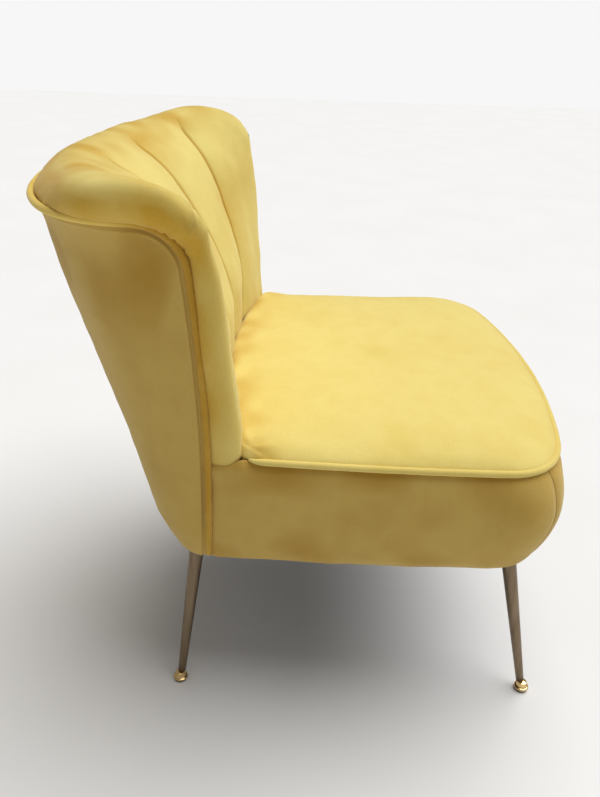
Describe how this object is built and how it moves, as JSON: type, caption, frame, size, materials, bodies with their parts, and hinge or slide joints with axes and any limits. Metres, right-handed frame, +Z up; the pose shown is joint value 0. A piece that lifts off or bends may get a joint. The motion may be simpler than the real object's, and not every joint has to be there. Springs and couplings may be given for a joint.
{
  "type": "upholstered chair",
  "caption": "Armless wing-back cocktail chair: channelled curved back, deep crowned seat with piped edges, velvet covers, splayed tapered metal legs with flared feet.",
  "frame": {"origin": "on the floor, under the middle of the chair's bounding box", "axes": "+Z up, -Y to the front where the sitter faces, +X to the sitter's left; symmetrical about X = 0"},
  "size_m": [0.6436, 0.7261, 0.7869],
  "materials": {
    "velvet": "short-pile upholstery velvet, soft sheen, pale golden yellow with a brushed nap",
    "piping": "velvet-covered round welt cord, deeper golden yellow",
    "foam": "open-cell upholstery foam",
    "wadding": "polyester wadding",
    "timber": "plain plywood and pine, unfinished",
    "webbing": "woven elastic webbing",
    "lining": "thin non-woven lining",
    "leg_metal": "tapered steel tube with a satin antique bronze plating",
    "foot_metal": "polished brass plating",
    "steel": "zinc-plated steel",
    "glide": "dark moulded plastic"
  },
  "bodies": {
    "root": {"right_seat_border": "velvet", "front_seat_border": "velvet", "left_seat_border": "velvet", "seat_border_padding": "wadding", "seat_piping": "piping", "seat_top_cover": "velvet", "seat_foam": "foam", "front_rail": "timber", "right_side_rail": "timber", "left_side_rail": "timber", "rear_rail": "timber", "seat_web_1": "webbing", "seat_web_2": "webbing", "seat_web_3": "webbing", "seat_web_4": "webbing", "seat_web_5": "webbing", "front_right_leg_glide": "glide", "front_right_leg_foot": "foot_metal", "front_right_leg_tube": "leg_metal", "front_right_leg_stud": "steel", "front_right_leg_plate": "steel", "front_right_block": "timber", "rear_right_leg_glide": "glide", "rear_right_leg_foot": "foot_metal", "rear_right_leg_tube": "leg_metal", "rear_right_leg_stud": "steel", "rear_right_leg_plate": "steel", "rear_right_block": "timber", "front_left_leg_glide": "glide", "front_left_leg_foot": "foot_metal", "front_left_leg_tube": "leg_metal", "front_left_leg_stud": "steel", "front_left_leg_plate": "steel", "front_left_block": "timber", "rear_left_leg_glide": "glide", "rear_left_leg_foot": "foot_metal", "rear_left_leg_tube": "leg_metal", "rear_left_leg_stud": "steel", "rear_left_leg_plate": "steel", "rear_left_block": "timber", "dust_cover": "lining", "right_wing_border": "velvet", "right_wing_padding": "wadding", "left_wing_border": "velvet", "left_wing_padding": "wadding", "right_wing_cover": "velvet", "right_channel_cover": "velvet", "centre_channel_cover": "velvet", "left_channel_cover": "velvet", "left_wing_cover": "velvet", "back_foam": "foam", "outer_back_cover": "velvet", "back_shell": "timber", "right_back_post": "timber", "left_back_post": "timber", "back_top_rail": "timber", "back_piping": "piping"}
  },
  "joints": []
}
